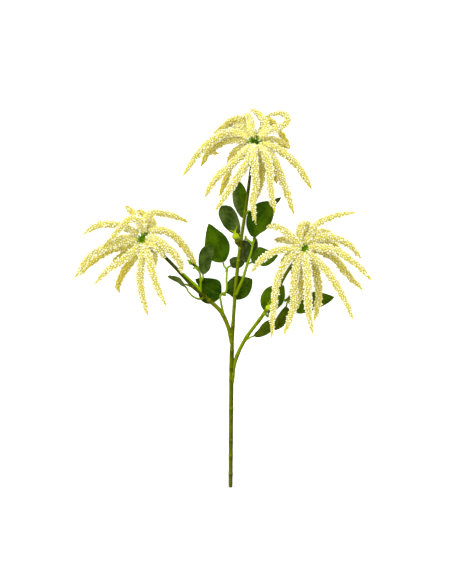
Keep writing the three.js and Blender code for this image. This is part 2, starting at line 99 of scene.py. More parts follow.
class Maker:
    # adds nodes to one tree; sockets are looked up among the ones that are in use
    def __init__(self, tree):
        self.tree = tree

    def pick(self, sockets, key):
        used = [s for s in sockets if s.enabled]
        return used[key] if isinstance(key, int) else next(s for s in used if s.name == key)

    def feed(self, socket, value):
        if isinstance(value, Wire):
            self.tree.links.new(value.socket, socket)
        else:
            socket.default_value = (*value, 1) if socket.type == "RGBA" else value

    def node(self, kind, settings=None, sockets=None, out=0):
        made = self.tree.nodes.new(kind)
        for name, value in (settings or {}).items():
            if name == "stops":
                while len(made.color_ramp.elements) < len(value):
                    made.color_ramp.elements.new(1)
                for element, (place, colour) in zip(made.color_ramp.elements, value):
                    element.position = place
                    element.color = (*colour, 1)
            else:
                setattr(made, name, value)
        for key, value in (sockets or {}).items():
            for one in value if isinstance(value, list) else [value]:
                self.feed(self.pick(made.inputs, key), one)
        return Wire(self, self.pick(made.outputs, out))

    def also(self, wire, out):
        # another output of the node that a wire comes from
        return Wire(self, self.pick(wire.socket.node.outputs, out))

    def between(self, value, low, high):
        return self.node("ShaderNodeMapRange", {"interpolation_type": "SMOOTHSTEP"},
                         {"Value": value, "From Min": low, "From Max": high})

    def mix(self, share, first, second):
        return self.node("ShaderNodeMix", {"data_type": "RGBA"}, {"Factor": share, "A": first, "B": second})

    def noise(self, place, scale, detail=2.0):
        return self.node("ShaderNodeTexNoise", {}, {"Vector": place, "Scale": scale, "Detail": detail})

    def stored(self, name):
        # a number kept on the mesh, read in a material
        return self.node("ShaderNodeAttribute", {"attribute_name": name}, {}, "Fac")


def finish(name, **uniform):
    made = bpy.data.materials.new(name)
    made.use_nodes = True
    shader = made.node_tree.nodes["Principled BSDF"]
    for socket, value in uniform.items():
        shader.inputs[socket.replace("_", " ")].default_value = value
    return made, Maker(made.node_tree), shader


# Paths and meshes
def smoothPath(points, step):
    # a centripetal spline through the points, sampled evenly: positions, and distances from the start
    samples = 40  # from each point to the next, before they are evened out
    p = np.array(points, float)
    p = np.vstack([2 * p[0] - p[1], p, 2 * p[-1] - p[-2]])
    t = np.linspace(0, 1, samples, endpoint=False)[:, None]
    fine = []
    for a, b, c, d in zip(p, p[1:], p[2:], p[3:]):
        ab, bc, cd = (max(np.linalg.norm(v), 1e-9) ** 0.5 for v in (b - a, c - b, d - c))
        out = bc * ((b - a) / ab - (c - a) / (ab + bc) + (c - b) / bc)
        into = bc * ((c - b) / bc - (d - b) / (bc + cd) + (d - c) / cd)
        square, cube = 3 * (c - b) - 2 * out - into, 2 * (b - c) + out + into
        fine.append(b + out * t + square * t ** 2 + cube * t ** 3)
    fine = np.vstack([*fine, p[-2]])
    run = np.concatenate([[0], np.cumsum(np.linalg.norm(np.diff(fine, axis=0), axis=1))])
    at = np.linspace(0, run[-1], max(3, round(run[-1] / step) + 1))
    return np.stack([np.interp(at, run, fine[:, k]) for k in range(3)], axis=1), at


def newObject(name, verts, edges, faces, values):
    mesh = bpy.data.meshes.new(name)
    mesh.from_pydata(verts, edges, faces)
    for key, row in values.items():
        row = np.asarray(row, float)
        kind, field = ("FLOAT_VECTOR", "vector") if row.ndim == 2 else ("FLOAT", "value")
        mesh.attributes.new(key, kind, "POINT").data.foreach_set(field, row.ravel())
    made = bpy.data.objects.new(name, mesh)
    bpy.context.scene.collection.objects.link(made)
    return made


def pathObject(name, paths):
    # each path is its points and a number per point for every attribute
    verts = np.vstack([placed(points) for points, values in paths])
    edges, first = [], 0
    for points, values in paths:
        edges += [(first + i, first + i + 1) for i in range(len(points) - 1)]
        first += len(points)
    keys = paths[0][1].keys()
    return newObject(name, verts, edges, [], {k: np.concatenate([v[k] for _, v in paths]) for k in keys})


def newTree(name, inputs):
    tree = bpy.data.node_groups.new(name, "GeometryNodeTree")
    tree.interface.new_socket("Geometry", in_out="OUTPUT", socket_type="NodeSocketGeometry")
    for label, kind in {"Geometry": "Geometry", **inputs, "Finish": "Material"}.items():
        tree.interface.new_socket(label, in_out="INPUT", socket_type="NodeSocket" + kind)
    maker = Maker(tree)
    start = tree.nodes.new("NodeGroupInput")
    return tree, maker, {s.name: Wire(maker, s) for s in start.outputs if s.name}


def closeTree(m, shape, given):
    # nothing reaches below the table: what would is pressed flat on it
    x = m.node("ShaderNodeSeparateXYZ", {}, {0: m.node("GeometryNodeInputPosition")})
    height = m.also(x, 2).atLeast(tableClear / 1000)
    place = m.node("ShaderNodeCombineXYZ", {}, {0: x, 1: m.also(x, 1), 2: height})
    shape = m.node("GeometryNodeSetPosition", {}, {"Geometry": shape, "Position": place})
    shape = m.node("GeometryNodeSetShadeSmooth", {}, {"Geometry": shape})
    shape = m.node("GeometryNodeRealizeInstances", {}, {"Geometry": shape})
    shape = m.node("GeometryNodeSetMaterial", {}, {"Geometry": shape, "Material": given["Finish"]})
    end = m.tree.nodes.new("NodeGroupOutput")
    m.feed(end.inputs["Geometry"], shape)


def onPoint(m, name, kind="FLOAT"):
    return m.node("GeometryNodeInputNamedAttribute", {"data_type": kind}, {"Name": name})


def keep(m, shape, name, value, domain="POINT"):
    return m.node("GeometryNodeStoreNamedAttribute", {"domain": domain},
                  {"Geometry": shape, "Name": name, "Value": value})


def tubeAlong(m, shape, sides):
    # a closed round tube on every path, as thick as the path's girth says
    path = m.node("GeometryNodeMeshToCurve", {}, {"Mesh": shape})
    ring = m.node("GeometryNodeCurvePrimitiveCircle", {}, {"Resolution": sides, "Radius": 1.0})
    return m.node("GeometryNodeCurveToMesh", {}, {
        "Curve": path, "Profile Curve": ring, "Scale": onPoint(m, "girth"), "Fill Caps": True})


def grown(made, tree, **inputs):
    # runs a tree on an object and keeps what comes out as the object's own mesh
    modifier = made.modifiers.new("grow", "NODES")
    modifier.node_group = tree
    for item in tree.interface.items_tree:
        name = item.name.replace(" ", "")
        if item.in_out == "INPUT" and name in inputs:
            modifier[item.identifier] = inputs[name]
    seen = made.evaluated_get(bpy.context.evaluated_depsgraph_get())
    mesh = bpy.data.meshes.new_from_object(seen)
    made.modifiers.clear()
    made.data = mesh
    mesh.name = made.name
    return made


def kept(made, slot, *nodes):
    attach(made, "root")
    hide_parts(*nodes)
    print(made.name, sum(len(p.vertices) - 2 for p in made.data.polygons), "triangles")
    return made


# Trees that grow stalks and catkins along paths
paintedLightWay = (-0.4, 0.87, 0.3)  # the way painted light comes from on the stalks: up and to the left in the picture
florets = {
    "coreSides": 15, "coreLift": -1.2, "coreTint": 0.3,
    "perSquareMetre": 900000.0, "sizes": (0.75, 1.25), "lean": 0.5, "turn": 3.1,
    "thinGirths": (0.0005, 0.0042), "thinShrink": 0.45,  # florets are smaller where a catkin is thin
    "clumpRim": (0.2, 0.8), "clumpDip": 0.35,  # from a clump's rim to its middle, and how deep rims lie
    "sizeSeed": 3, "leanSeed": 5, "tintSeed": 8,
}
floretLayers = {  # a floret's length beside its width, its lift, and how far lift spans up it
    "Fill": (1.3, -0.5, 0.45),
    "Bead": (1.8, 0.35, 0.75),
}


def stalkTree():
    # plain tubes, keeping how far each side faces the way of the painted light
    tree, m, given = newTree("stalk", {"Sides": "Int"})
    shape = tubeAlong(m, given["Geometry"], given["Sides"])
    sunny = m.node("ShaderNodeVectorMath", {"operation": "DOT_PRODUCT"}, {
        0: m.node("GeometryNodeInputNormal"), 1: paintedLightWay}, "Value")
    closeTree(m, keep(m, shape, "sunny", sunny), given)
    return tree


def anyOf(m, low, high, seed, kind="FLOAT"):
    return m.node("FunctionNodeRandomValue", {"data_type": kind}, {"Min": low, "Max": high, "Seed": seed})


def catkinTree():
    # a core on each path under two layers of florets: a low filling, and paler beads that stand
    # out in small domed clumps
    tree, m, given = newTree("catkin", {
        "Fill Gap": "Float", "Fill Size": "Float", "Bead Gap": "Float", "Bead Size": "Float",
        "Clump Width": "Float", "Clump Height": "Float", "Seed": "Int"})
    core = tubeAlong(m, given["Geometry"], florets["coreSides"])
    ball = m.node("GeometryNodeMeshIcoSphere", {}, {"Radius": 1.0, "Subdivisions": 1})
    up = m.also(m.node("ShaderNodeSeparateXYZ", {}, {0: m.node("GeometryNodeInputPosition")}), 2)
    cells = m.node("ShaderNodeTexVoronoi", {}, {
        "Vector": m.node("GeometryNodeInputPosition"), "Scale": 1 / given["Clump Width"]})
    shrink = florets["thinShrink"]
    slim = m.between(onPoint(m, "girth"), *florets["thinGirths"]) * shrink + (1 - shrink)
    base = keep(m, keep(m, core, "lift", florets["coreLift"]), "tint", florets["coreTint"])
    parts = [keep(m, base, "dome", 0.0)]
    for layer, (long, lift, span) in floretLayers.items():
        points = m.node("GeometryNodeDistributePointsOnFaces", {"distribute_method": "POISSON"}, {
            "Mesh": core, "Distance Min": given[layer + " Gap"], "Density Max": florets["perSquareMetre"],
            "Seed": given["Seed"] + len(parts)})
        facing, outward = m.also(points, "Rotation"), m.also(points, "Normal")
        points = keep(m, points, "dome", 1 - m.between(cells, *florets["clumpRim"]))
        push = m.node("ShaderNodeVectorMath", {"operation": "SCALE"}, {
            "Vector": outward, "Scale": (onPoint(m, "dome") - florets["clumpDip"]) * given["Clump Height"]})
        points = m.node("GeometryNodeSetPosition", {}, {"Geometry": points, "Offset": push})
        wide = anyOf(m, *florets["sizes"], florets["sizeSeed"]) * given[layer + " Size"] * slim
        grains = m.node("GeometryNodeInstanceOnPoints", {}, {
            "Points": points, "Instance": keep(m, ball, "lift", up * span + lift), "Rotation": facing,
            "Scale": m.node("ShaderNodeCombineXYZ", {}, {0: wide, 1: wide, 2: wide * long})})
        lean, turn = florets["lean"], florets["turn"]
        tilt = anyOf(m, (-lean, -lean, 0.0), (lean, lean, turn), florets["leanSeed"], "FLOAT_VECTOR")
        grains = m.node("GeometryNodeRotateInstances", {}, {"Instances": grains, "Rotation": tilt})
        grains = keep(m, grains, "tint", anyOf(m, 0.0, 1.0, florets["tintSeed"]), "INSTANCE")
        parts.append(m.node("GeometryNodeRealizeInstances", {}, {"Geometry": grains}))
    closeTree(m, m.node("GeometryNodeJoinGeometry", {}, {"Geometry": parts}), given)
    return tree


# Finishes
cream = {
    "fresh": ((0.41, 0.355, 0.030), (0.64, 0.59, 0.19), (0.765, 0.75, 0.63)),  # dips, sides and tops, in painted light; the dips are partly painted shade and the tops partly painted highlight
    # the same colours in painted shade, for low catkins
    "aged": ((0.39, 0.31, 0.008), (0.52, 0.44, 0.035), (0.57, 0.505, 0.12)),
    # painted shade near the hubs, golden and darker, and the catkins' own green where they start
    "heart": (0.74, 0.68, 0.17), "green": (0.26, 0.36, 0.01),
    "heartOffTops": 0.85, "greenOffTops": 0.7,  # how much of either the tops do without
    "domeShare": 0.9, "tintShare": 0.5, "dips": (-1.2, 0.0), "tops": (-0.2, 1.2),
}
greens = {  # each stalk's colours from old to fresh, and the colour of its fine flecks
    "stem": (((0.0, (0.014, 0.013, 0.0003)), (0.25, (0.032, 0.038, 0.0003)), (0.5, (0.080, 0.095, 0.0004)),
              (1.0, (0.16, 0.27, 0.001))), (0.20, 0.23, 0.01)),
    "hub": (((0.0, (0.035, 0.068, 0.0003)), (0.4, (0.135, 0.30, 0.0005)), (1.0, (0.26, 0.40, 0.01))),
            (0.2, 0.4, 0.01)),
    "bud": (((0.0, (0.03, 0.032, 0.0005)), (0.5, (0.11, 0.14, 0.004)), (1.0, (0.33, 0.42, 0.006))),
            (0.35, 0.42, 0.03)),
}
bark = {
    "patchScale": 60.0, "patchShare": 0.4, "fleckScale": 900.0, "fleckRim": (0.6, 0.75), "fleckShare": 0.25,
    "smoothest": 0.45, "roughening": 0.25, "grainScale": 700.0, "grainStrength": 0.4, "grainHeight": 0.0004,
}
waxy = {  # the colours are for a blade's darker and paler patches; the dark and light pairs stand partly for painted light and shade, and one pair is a painted sheen
    "dark": ((0.004, 0.018, 0.0), (0.014, 0.040, 0.0002)),
    "light": ((0.030, 0.066, 0.0), (0.064, 0.118, 0.0006)),
    "olive": ((0.030, 0.038, 0.0002), (0.062, 0.072, 0.0006)),
    "grey": ((0.022, 0.034, 0.006), (0.082, 0.108, 0.028)),
    "vein": (0.075, 0.120, 0.002), "veinOnGrey": (0.006, 0.014, 0.001), "under": (0.13, 0.18, 0.06),
    "patchScale": 45.0, "speckScale": 190.0, "speckShare": 0.3, "patchRim": (0.36, 0.64),
    "ribEdge": (0.03, 0.1), "veinEdge": (0.0, 0.08), "veinFade": (0.7, 0.95), "veinShare": 0.3,
    "lineShare": 0.2, "lineShareOnGrey": 0.6, "underShare": 0.6,
    "smoothest": 0.38, "roughening": 0.2, "patchHeight": 0.5, "lineDepth": 0.6,
    "strength": 0.5, "height": 0.0006,
}
veins = {"count": 8.5, "slant": 0.16}  # along a blade; they run forwards on their way to its edge


def catkinFinish():
    made, m, shader = finish("cream florets", Roughness=0.8, Specular_IOR_Level=0.15)
    # how far out a point lies picks its colour from dips to tops: partly the florets' own ochre and cream,
    # partly painted shade deep between florets and at clump rims, and painted highlight on the outermost
    # tops
    dome = (m.stored("dome") - 0.5) * cream["domeShare"]
    rise = m.stored("lift") + dome + (m.stored("tint") - 0.5) * cream["tintShare"]
    deep, top = m.between(rise, *cream["dips"]), m.between(rise, *cream["tops"])
    fresh, aged = (
        m.mix(top, m.mix(deep, dip, side), crest) for dip, side, crest in (cream["fresh"], cream["aged"]))
    # the lit and shaded copies are mixed by painted light and shade: painted shade on low catkins, painted
    # light on high ones and on those up from the hub
    colour = m.mix(m.stored("tone"), aged, fresh)
    # painted shade near each hub, golden and darker, less on the floret tops; then the catkins' own green
    # at their starts
    for tinge in ("heart", "green"):
        colour = m.mix(m.stored(tinge) * (1 - top * cream[tinge + "OffTops"]), colour, cream[tinge])
    m.feed(shader.inputs["Base Color"], colour)
    return made


def stalkFinish(part):
    stops, fleck = greens[part]
    made, m, shader = finish(part + " green", Specular_IOR_Level=0.02)
    place = m.node("ShaderNodeTexCoord", {}, {}, "Object")
    patch = m.noise(place, bark["patchScale"], 3.0)
    # painted light on the side of a stalk that faces the painted light's way, painted shade on its far side
    age = m.stored("age") + m.stored("sunny") * m.stored("split") + (patch - 0.5) * bark["patchShare"]
    colour = m.node("ShaderNodeValToRGB", {"stops": stops}, {0: age})
    flecks = m.between(m.noise(place, bark["fleckScale"], 1.0), *bark["fleckRim"])
    m.feed(shader.inputs["Base Color"], m.mix(flecks * bark["fleckShare"], colour, fleck))
    m.feed(shader.inputs["Roughness"], bark["smoothest"] + patch * bark["roughening"])
    m.feed(shader.inputs["Normal"], m.node("ShaderNodeBump", {}, {
        "Strength": bark["grainStrength"], "Distance": bark["grainHeight"],
        "Height": m.noise(place, bark["grainScale"], 3.0)}))
    return made


def leafFinish():
    made, m, shader = finish("leaf blade", Specular_IOR_Level=0.012)
    side, along, grey = abs(m.stored("across")), m.stored("along"), m.stored("grey")
    place = m.node("ShaderNodeTexCoord", {}, {}, "Object")
    broad, fine = m.noise(place, waxy["patchScale"], 3.0), m.noise(place, waxy["speckScale"], 2.0)
    speck = waxy["speckShare"]
    patch = m.between(broad * (1 - speck) + fine * speck, *waxy["patchRim"])
    # the tone picks between a dark and a light blade colour: partly each leaf's own, partly painted light
    # and shade
    colour = m.mix(m.stored("tone"), m.mix(patch, *waxy["dark"]), m.mix(patch, *waxy["light"]))
    colour = m.mix(m.stored("olive"), colour, m.mix(patch, *waxy["olive"]))
    # painted sheen: greyer where a blade would show a reflection
    colour = m.mix(grey, colour, m.mix(patch, *waxy["grey"]))
    rib = 1 - m.between(side, *waxy["ribEdge"])
    slant = (along - side * veins["slant"]) * veins["count"]
    vein = abs(m.node("ShaderNodeMath", {"operation": "FRACT"}, {0: slant}) - 0.5)
    vein = (1 - m.between(vein, *waxy["veinEdge"])) * (1 - m.between(side, *waxy["veinFade"]))
    lines = rib.atLeast(vein * waxy["veinShare"])
    shown = lines * (grey * waxy["lineShareOnGrey"] + waxy["lineShare"])
    colour = m.mix(shown, colour, m.mix(grey, waxy["vein"], waxy["veinOnGrey"]))
    colour = m.mix(m.stored("under") * waxy["underShare"], colour, waxy["under"])
    m.feed(shader.inputs["Base Color"], colour)
    m.feed(shader.inputs["Roughness"], waxy["smoothest"] + patch * waxy["roughening"])
    m.feed(shader.inputs["Normal"], m.node("ShaderNodeBump", {}, {
        "Strength": waxy["strength"], "Distance": waxy["height"],
        "Height": patch * waxy["patchHeight"] - lines * waxy["lineDepth"]}))
    return made


creamFlorets, bladeGreen = catkinFinish(), leafFinish()
stemGreen, hubGreen, budGreen = (stalkFinish(part) for part in ("stem", "hub", "bud"))
stalks, catkinGrower = stalkTree(), catkinTree()
print("finishes and trees are ready")

# Heads
hubHeight = 62
# the last number of each hub sets how strong the painted shade near it is
hubs = {
    "top": {"at": [63, 309], "axis": [0.145, 0.985, 0.08], "peg": 15.5, "fresh": 0.0, "warm": 0.5},
    "left": {"at": [-162, 116], "axis": [-0.79, 0.59, 0.14], "peg": 18, "fresh": 0.25, "warm": 0.42},
    "right": {"at": [161, 95], "axis": [0.62, 0.77, 0.14], "peg": 14.5, "fresh": 0.4, "warm": 0.2},
}
knob = {
    "outline": [  # height and radius
        (-9, 3.4), (-8, 3.8), (-6, 5.1), (-2, 7.2), (2.5, 7.2), (6.5, 4.7), (7.6, 0.4)],
    "rings": 40, "sides": 10, "pale": (-4, 9), "paleShare": 0.2,  # paler downwards, between two depths
}
peg = {  # each pair is two distances from the hub's middle
    "radius": 1.9, "foot": 0.8, "widens": (6, 12), "pale": (5, 14), "inCatkin": 3, "step": 1,
}
rope = {
    "radius": 7.8, "coreShare": 0.84, "thinnest": 0.5, "step": 4,
    "foot": 0.86, "swell": (15, 50),  # thinner near the hub, and full at the second distance
    "tuck": 2, "roundFrom": 2.5, "roundOver": 4, "roundLeast": 0.04,  # its round start, on the peg
    "taperPower": 4, "taperRoot": 0.6, "tipShare": 0.9999,
    "pale": (5, 82), "paleUp": (0, 30), "paleUpShare": 0.4,  # painted shade low down, painted light higher: by height, and by the way up from the hub
    "green": 0.9, "greenReach": 5, "heartReach": 50,
}
floretSizes = {
    "FillGap": 0.0027, "FillSize": 0.00135, "BeadGap": 0.0040, "BeadSize": 0.00165,
    "ClumpWidth": 0.0075, "ClumpHeight": 0.0032,
}
headSeeds = {"first": 20, "step": 7, "front": 3}
catkins = {
    "top": [
        {"spine": [[-8, 34, -16], [-38, 50, -38], [-78, 17, -54], [-94, -11, -57], [-71, -19, -57]]},
        {"spine": [[-30, 18, 6], [-58, 19, 10], [-104, -11, 6], [-145, -67, -4]]},
        {"spine": [[-34, 7, -4], [-66, 2, -12], [-92, -16, -24], [-109, -46, -34]]},
        {"spine": [[14, 26, -22], [24, 50, -45], [36, 45, -52], [53, 23, -56], [72, -5, -59]], "size": 0.9},
        {"spine": [[22, 20, 14], [48, 30, 18], [61, 38, 15], [65, 48, 9], [58, 57, 3], [42, 59, -3],
                   [20, 53, -10]], "size": 0.9},
        {"spine": [[16, 20, 8], [21, 35, 6], [14, 50, -4], [4, 62, -14], [-10, 70, -32]]},
        {"spine": [[-8, 26, 12], [-9, 42, 8], [-13, 54, -4], [-24, 56, -24]]},
        {"spine": [[-24, 32, -20], [-36, 34, -42], [-44, 30, -59]]},
        {"spine": [[-24, -6, -12], [-43, -20, -26], [-54, -58, -34], [-71, -105, -42]]},
        {"spine": [[-19, -18, 26], [-44, -43, 38], [-79, -74, 34], [-101, -111, 24]]},
        {"spine": [[-8, -24, 34], [-24, -55, 52], [-53, -98, 53], [-80, -138, 44]]},
        {"spine": [[-4, -24, 44], [-1, -62, 62], [0, -94, 64], [-5, -122, 61], [1, -162, 54]], "size": 0.9},
        {"spine": [[13, -20, -18], [13, -62, -28], [3, -114, -32]]},
        {"spine": [[17, -20, 30], [27, -52, 52], [31, -100, 58], [39, -142, 54]]},
        {"spine": [[25, -16, 10], [43, -46, 16], [60, -90, 14], [78, -144, 8]]},
        {"spine": [[24, -26, -20], [36, -54, -34], [45, -80, -40]]},
        {"spine": [[26, -5, 10], [53, -18, 14], [86, -48, 10], [114, -93, -2]]},
        {"spine": [[26, 7, -4], [50, 1, -14], [71, -9, -32]]},
    ],
    "left": [
        {"spine": [[-21, 18, 20], [-51, 28, 34], [-86, 28, 30], [-118, 10, 8]]},
        {"spine": [[-23, -2, 20], [-62, -11, 28], [-103, -34, 22], [-136, -78, 10]]},
        {"spine": [[-2, 33, 30], [-24, 38, 54], [-53, 9, 50], [-76, -13, 38]], "size": 0.85},
        {"spine": [[-26, -12, -16], [-64, -20, -22], [-100, -43, -20], [-128, -73, -16]]},
        {"spine": [[-20, 5, -8], [-40, 3, -20], [-63, -3, -30]], "size": 0.9},
        {"spine": [[-23, -19, -20], [-49, -37, -38], [-67, -51, -48]]},
        {"spine": [[-19, -26, 30], [-45, -46, 40], [-74, -67, 32], [-95, -90, 20]], "size": 0.9},
        {"spine": [[-10, -27, -18], [-36, -60, -32], [-51, -92, -40], [-47, -108, -44]]},
        {"spine": [[1, -35, 32], [-4, -75, 40], [1, -112, 35], [12, -153, 24]]},
        {"spine": [[13, -33, 44], [21, -67, 56], [33, -99, 54], [49, -134, 46]]},
        {"spine": [[20, -20, 19], [24, -42, 14], [20, -62, 4]]},
        {"spine": [[26, 0, 30], [52, -19, 44], [75, -45, 34], [78, -68, 14]], "size": 1.12},
        {"spine": [[25, -14, 36], [38, -24, 38], [45, -39, 26]]},
        {"spine": [[19, 17, 4], [50, 15, 0], [80, -10, -8], [108, -51, -16]]},
        {"spine": [[3, 34, 10], [16, 51, 4], [51, 51, -14], [92, 35, -34]], "size": 0.9},
        {"spine": [[-6, 29, -8], [-17, 51, -38], [-29, 63, -59], [-38, 69, -62]]},
        {"spine": [[7, 31, -24], [2, 50, -48], [-5, 58, -59], [-13, 61, -62]]},
        {"spine": [[15, 21, -18], [19, 36, -44], [16, 47, -59], [11, 52, -62]]},
    ],
    "right": [
        {"spine": [[10, 28, 16], [28, 53, 20], [66, 69, 12], [104, 75, 2]], "size": 0.85},
        {"spine": [[16, 18, 10], [46, 26, 14], [87, 12, 6], [115, -17, -4]]},
        {"spine": [[22, 16, -18], [50, 18, -34], [79, -3, -48]]},
        {"spine": [[26, 5, 22], [58, -1, 32], [102, -28, 24], [135, -61, 10]]},
        {"spine": [[22, 1, -14], [57, -13, -15], [87, -48, -12], [119, -81, -16]]},
        {"spine": [[20, -17, 28], [48, -48, 38], [78, -96, 32], [98, -140, 22]]},
        {"spine": [[14, -20, -8], [27, -56, -9], [29, -100, -8], [20, -144, -8]]},
        {"spine": [[4, -30, 42], [6, -75, 60], [7, -122, 57], [16, -168, 46]]},
        {"spine": [[0, -31, -14], [-5, -72, -10], [-15, -120, -8]]},
        {"spine": [[-12, -20, 30], [-21, -64, 44], [-23, -114, 44], [-41, -170, 36]], "size": 0.94},
        {"spine": [[-25, -12, 32], [-50, -47, 46], [-61, -110, 47], [-66, -176, 40]], "size": 0.88},
        {"spine": [[-26, 1, 30], [-56, -2, 40], [-84, -19, 30], [-105, -44, 14]], "size": 0.9},
        {"spine": [[-16, 15, 20], [-37, 36, 28], [-61, 47, 16], [-75, 46, 4]]},
        {"spine": [[-20, 14, -16], [-38, 22, -42], [-50, 22, -59], [-59, 21, -62]], "size": 0.85},
        {"spine": [[-9, 26, 10], [-10, 40, 8], [-2, 51, 0], [9, 51, -10], [9, 40, -28]], "size": 0.9},
        {"spine": [[-29, -11, -24], [-44, -36, -38], [-50, -56, -46]]},
        {"spine": [[3, 32, -30], [14, 44, -52], [21, 48, -59], [28, 50, -62]]},
        {"spine": [[20, 28, -22], [42, 38, -50], [54, 35, -59], [62, 31, -62]]},
    ],
}


def hubPoint(name):
    return np.array([*hubs[name]["at"], hubHeight], float)


def fromHub(name, row, step):
    return smoothPath(np.array([[0, 0, 0], *row["spine"]]) + hubPoint(name), step)


def catkinPath(name, row):
    points, run = fromHub(name, row, rope["step"])
    start = hubs[name]["peg"]  # where the florets start
    use = run > start - rope["tuck"]
    swell = rope["foot"] + (1 - rope["foot"]) * blend(run, *rope["swell"])
    rounding = (run - start + rope["roundFrom"]) / rope["roundOver"]
    rounded = np.sqrt(np.clip(rounding, rope["roundLeast"], 1))
    share = np.minimum(run / run[-1], rope["tipShare"])
    taper = (1 - share ** rope["taperPower"]) ** rope["taperRoot"]
    girth = rope["radius"] * row.get("size", 1) * swell * rounded * taper * rope["coreShare"]
    # painted shade on low catkins and painted light on high ones and on those up from the hub
    up = points[:, 1] - hubs[name]["at"][1]
    tone = blend(points[:, 2], *rope["pale"]) + rope["paleUpShare"] * blend(up, *rope["paleUp"])
    green = rope["green"] * (1 - blend(run, start - rope["tuck"], start + rope["greenReach"]))
    # painted shade that fades out along the catkin from its hub
    heart = hubs[name]["warm"] * (1 - blend(run, start, start + rope["heartReach"]))
    girth = np.maximum(girth, rope["thinnest"]) / 1000
    values = {"girth": girth, "tone": tone, "green": green, "heart": heart}
    return points[use], {key: value[use] for key, value in values.items()}


def pegPath(name, row):
    points, run = fromHub(name, row, peg["step"])
    use = run < hubs[name]["peg"] + peg["inCatkin"]
    girth = peg["radius"] * (peg["foot"] + (1 - peg["foot"]) * blend(run, *peg["widens"])) / 1000
    fresh = hubs[name]["fresh"]
    age = fresh + (1 - fresh) * blend(run, *peg["pale"])
    return points[use], {"girth": girth[use], "age": age[use]}


def knobPath(name):
    height, radius = np.array(knob["outline"]).T
    rise = np.linspace(height[0], height[-1], knob["rings"])
    age = hubs[name]["fresh"] + knob["paleShare"] * blend(-rise, *knob["pale"])
    points = hubPoint(name) + rise[:, None] * unit(hubs[name]["axis"])
    return points, {"girth": np.interp(rise, height, radius) / 1000, "age": age}


def buildHead(name, seed):
    ropes = [catkinPath(name, row) for row in catkins[name]]
    ropes.sort(key=lambda made: made[0][:, 2].mean())  # the lowest first
    half = len(ropes) // 2
    for part, group, more in (("back", ropes[:half], 0), ("front", ropes[half:], headSeeds["front"])):
        bunch = pathObject(f"catkins_{name}_{part}", group)
        grown(bunch, catkinGrower, **floretSizes, Seed=seed + more, Finish=creamFlorets)
        kept(bunch, "catkin", f"head_{name}")
    star = [pegPath(name, row) for row in catkins[name]] + [knobPath(name)]
    hub = pathObject(f"hub_{name}", star)
    kept(grown(hub, stalks, Sides=knob["sides"], Finish=hubGreen), "bud", f"head_{name}")


for number, name in enumerate(hubs):
    buildHead(name, headSeeds["first"] + headSeeds["step"] * number)
print("heads are made")

# Stem, branches and twigs
stem = {
    "cut": 4.3, "fork": 4.7, "above": 3.9, "neck": 2.9, "left": (4.4, 3.2), "right": (4, 3.3),
    "forkShare": 0.4, "narrows": (0.38, 0.43),  # the fork and the step in thickness, along the main stem
    "flare": 0.5, "flareShare": 0.05, "neckGap": 8.5, "step": 1.4, "sides": 14,
    "scarHeight": 0.5, "scarSpacing": 42, "firstScar": 18, "scarredTo": {"left": 200, "right": 250},
    "scars": [29, 65, 97, 161, 221, 245, 279, 330, 392, 461, 505, 560, 610],  # from the cut end
    "ring": {"width": 1.3, "share": 0.7, "pale": 0.26},
    "bulge": {"width": 6, "share": 0.5, "pale": -0.09, "before": 3},  # the swelling under a ring
}
stemLooks = {  # how fresh at the foot, each change of it between two shares of the length, and how much painted light and shade the two sides get
    "main": {"fresh": 0.30, "changes": [(0.17, 0.4, 0.6), (-0.45, 0.8, 0.92)], "split": 0.36},
    "left": {"fresh": 0.48, "changes": [(-0.27, 0.3, 0.42), (-0.15, 0.7, 0.85)], "split": 0.3},
    "right": {"fresh": 0.54, "changes": [(-0.2, 0.6, 1)], "split": 0.3},
}
twig = {
    "root": 2.3, "end": 1.8, "spur": 1.2, "petiole": 5, "gap": 0.3, "stub": 2.5, "step": 1.2,
    "flare": 0.7, "flareReach": 3, "age": 0.62, "fresher": 0.3, "split": 0.2,
}
mainStem = [
    [14, -384, 4.3], [15.2, -240, 15.9], [16.8, -105, 27.4], [20.6, -31, 33.6],
    [26, 38, 39.5], [35, 114, 45.9], [46.5, 191, 52.5], [54, 250, 57.5],
]
leftBranch = [
    [17, -92, 28.4], [11, -64, 31], [-5, -29, 35], [-30, -4.8, 39.5], [-60, 21.2, 44],
    [-95.5, 59, 50], [-128, 91, 56],
]
rightBranch = [
    [17, -172, 21.7], [22.5, -132, 25], [42, -87, 29], [82, -31, 37], [107, 14, 46], [131, 57, 54],
]
spurs = [
    {"path": [[-50, 55, 42], [-56, 60, 44], [-61, 58, 46]], "age": 0.62},
    {"path": [[-54, 17, 42], [-66, 22.5, 42.5], [-77, 27, 42]], "age": 0.3},
    {"path": [[-46, 11, 42], [-52, 21, 44.5], [-69, 37, 47.5], [-83, 50.5, 50.5], [-92, 58, 51.5]],
     "age": 0.8},
    {"path": [[43, 166, 50], [49, 171, 55], [54, 176, 58]], "age": 0.62},
    {"path": [[137, 22, 40.5], [132, 1, 40], [127, -5, 40], [122, -8, 40]], "age": 0.1},
]
